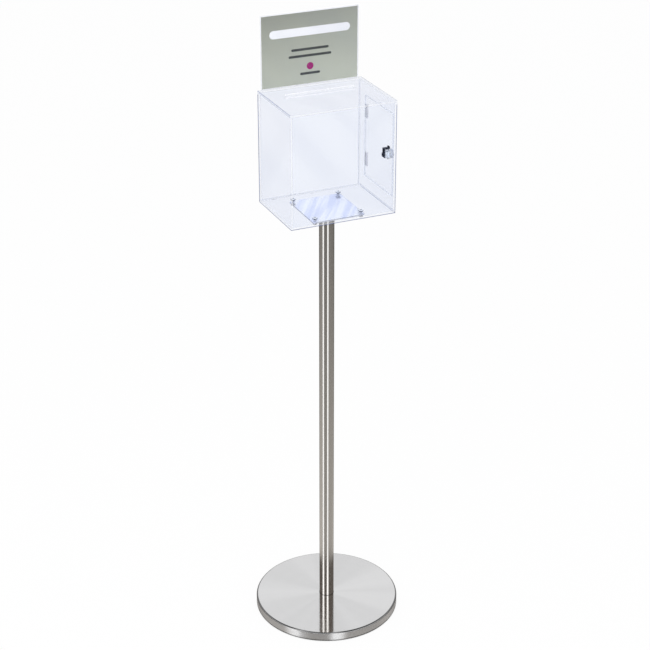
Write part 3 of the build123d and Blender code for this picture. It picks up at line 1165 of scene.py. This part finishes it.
CAMERA_PLACE = Vector((-1.33, -2.9752, 2.2913))
CAMERA_DOWN = 0.4539
CAMERA_YAW = 0.4193
CAMERA_LENS = 94.75
CAMERA_SENSOR = 36.0
CAMERA_CLIP = (0.05, 100.0)

LAMP_PLACE = Vector((-1.6, -1.8, 3.4))
LAMP_AIM = Vector((0.0, 0.0, 0.7))
LAMP_SIZE = 2.2
LAMP_POWER = 36.0

# The floor, and how much of it is plain white, under the base and beyond
FLOOR_RADIUS = 40.0
FLOOR_SHADE = (0.9, 0.9, 0.9)
FLOOR_WHITE = (0.2, 0.92)

# Tall lights of the studio in degrees: azimuth, half width and half of the soft edge
MAIN_LIGHTS = ((-167.0, 10.0, 3.0), (-96.0, 9.5, 3.0))
SOFT_LIGHTS = ((-167.0, 11.0, 7.0), (-96.0, 10.5, 7.0))
LEFT_GLOW = (145.0, 35.0, 10.0)
RIGHT_GLOW = (-35.0, 45.0, 15.0)
FAR_GLOW = (38.0, 40.0, 12.0)

# Where one part of the studio fades into the next, in degrees above the horizon
UNDER = (-40.0, -33.5)
LOW = (-36.0, -20.0)
HORIZON = (-3.0, 3.0)
RAISED = (37.0, 43.0)
CEILING = (44.0, 50.0)
ZENITH = (80.0, 86.0)

# Colours of the studio, whose lights are brighter than white
WARM = (1.0, 0.94, 0.87)
TALL_LIGHT = (1.45, 1.45, 1.45)
HIGH_LIGHT = (4.2, 4.2, 4.2)
CEILING_GREY = (0.3, 0.3, 0.3)
SECOND_DARK = (0.19, 0.163, 0.14)
SECOND_LIGHT = (2.5, 2.45, 2.4)
FILL = (0.92, 0.92, 0.93)


def seen_plainly(shader):
    """1 for rays that come straight, or through clear sheet, from the camera."""
    path = shader.node("ShaderNodeLightPath")
    return path.math("MAXIMUM", path.output("Is Transmission Ray"))


def make_floor():
    """A wide white floor that keeps a faint shadow."""
    made = bmesh.new()
    bmesh.ops.create_circle(made, cap_ends=True, radius=FLOOR_RADIUS, segments=64)
    shader = new_shader("white_floor")
    away = shader.distance(*shader.axes(shader.place())[:2])
    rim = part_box("base_cover")[1].x
    open_floor = shader.ramp(away, rim - 1.0 * MM, rim + 1.0 * MM, *FLOOR_WHITE)
    lit = shader.node("ShaderNodeBsdfDiffuse", inputs={"Color": FLOOR_SHADE})
    white = shader.node("ShaderNodeEmission", inputs={"Color": WHITE})
    material = shader.surface(shader.mix_shader(seen_plainly(shader) * open_floor, lit, white))
    floor = add_object("floor", mesh_from("floor", made, [material]))
    floor.visible_glossy = False


def tall_lights(shader, x, y, *lights):
    """1 for directions within any of the tall lights."""
    masks = []
    for light in lights:
        azimuth, half, soft = (math.radians(turn) for turn in light)
        toward = x * math.cos(azimuth) + y * math.sin(azimuth)
        masks.append(shader.ramp(toward, math.cos(half + soft), math.cos(half - soft)))
    return shader.highest(*masks)


def make_world():
    """White for the camera, and a plain studio for the metal to mirror: dim and warm low down, with
    two tall lights, white above, and a greyer ceiling. A second mirroring has a look of its own."""
    world = bpy.data.worlds.new("studio")
    bpy.context.scene.world = world
    shader = Shader(world)
    x, y, z = shader.axes(shader.node("ShaderNodeTexCoord", output="Generated"))
    flat = shader.distance(x, y) + 0.0001
    x = x / flat
    y = y / flat
    angle = z.math("ARCSINE")

    def band(limits, first=0.0, last=1.0, smooth=True):
        """A value that changes between two elevations."""
        start, end = (math.radians(limit) for limit in limits)
        return shader.ramp(angle, start, end, first, last, smooth)

    lights = tall_lights(shader, x, y, *MAIN_LIGHTS)
    left = tall_lights(shader, x, y, LEFT_GLOW) * 0.45
    right = tall_lights(shader, x, y, RIGHT_GLOW) * 0.2
    dim = band(LOW, 0.62, 0.09, False) * (left + right + 0.8)
    dim = dim + band(UNDER, 0.6, 0.0) * tall_lights(shader, x, y, FAR_GLOW)
    low = shader.mix(lights, shader.mix(dim, BLACK, WARM), TALL_LIGHT)
    ceiling = band(CEILING) - band(ZENITH)
    above = shader.mix(ceiling, WHITE, CEILING_GREY)
    raised = lights * band(RAISED) * band(ZENITH, 1.0, 0.0)
    high = shader.mix(raised, above, HIGH_LIGHT)
    once = shader.mix(band(HORIZON), low, high)
    again = shader.mix(tall_lights(shader, x, y, *SOFT_LIGHTS), SECOND_DARK, SECOND_LIGHT)
    path = shader.node("ShaderNodeLightPath", output="Glossy Depth")
    mirrored = shader.mix(path.math("GREATER_THAN", 1.5), once, again)
    lit = shader.mix(path.output("Is Glossy Ray"), FILL, mirrored)
    colour = shader.mix(seen_plainly(shader), lit, WHITE)
    shader.surface(shader.node("ShaderNodeBackground", inputs={"Color": colour, "Strength": 1.0}))


def make_lamp():
    """One large soft lamp above and to the front left."""
    lamp = bpy.data.lights.new("soft_key", "AREA")
    lamp.shape = "DISK"
    lamp.size = LAMP_SIZE
    lamp.energy = LAMP_POWER
    lamp_object = add_object("soft_key", lamp)
    lamp_object.location = LAMP_PLACE
    lamp_object.rotation_euler = (LAMP_AIM - LAMP_PLACE).to_track_quat("-Z", "Y").to_euler()
    lamp_object.visible_glossy = False


def make_camera():
    """The camera at the photograph's viewing angle."""
    camera = bpy.data.cameras.new("camera")
    camera.lens = CAMERA_LENS
    camera.sensor_width = CAMERA_SENSOR
    camera.clip_start, camera.clip_end = CAMERA_CLIP
    camera_object = add_object("camera", camera)
    camera_object.location = CAMERA_PLACE
    camera_object.rotation_euler = (math.pi / 2 - CAMERA_DOWN, 0.0, -CAMERA_YAW)
    bpy.context.scene.camera = camera_object
    bpy.context.scene.view_settings.view_transform = "Standard"


class BALLOTBOX_PT_panel(bpy.types.Panel):
    """The sidebar panel that lists the pieces"""

    bl_idname = "BALLOTBOX_PT_panel"
    bl_label = "Ballot box"
    bl_space_type = "VIEW_3D"
    bl_region_type = "UI"
    bl_category = "Ballot box"

    def draw(self, context):
        for operator in OPERATORS:
            self.layout.operator(operator.bl_idname)


OPERATORS = (
    BALLOTBOX_OT_base,
    BALLOTBOX_OT_post,
    BALLOTBOX_OT_box,
    BALLOTBOX_OT_door,
    BALLOTBOX_OT_sign,
    BALLOTBOX_OT_stage,
)
CLASSES = (BallotBoxSizes, BallotBoxColours, *OPERATORS, BALLOTBOX_PT_panel)


def register():
    """Add the classes and the scene's settings."""
    for cls in CLASSES:
        bpy.utils.register_class(cls)
    bpy.types.Scene.ballotbox_sizes = PointerProperty(type=BallotBoxSizes)
    bpy.types.Scene.ballotbox_colours = PointerProperty(type=BallotBoxColours)


def unregister():
    """Remove the classes and the scene's settings."""
    del bpy.types.Scene.ballotbox_colours
    del bpy.types.Scene.ballotbox_sizes
    for cls in reversed(CLASSES):
        bpy.utils.unregister_class(cls)


def main():
    """Build everything."""
    register()
    bpy.ops.ballotbox.base()
    bpy.ops.ballotbox.post()
    bpy.ops.ballotbox.box()
    bpy.ops.ballotbox.door()
    bpy.ops.ballotbox.sign()
    bpy.ops.ballotbox.stage()


if __name__ == "__main__":
    main()
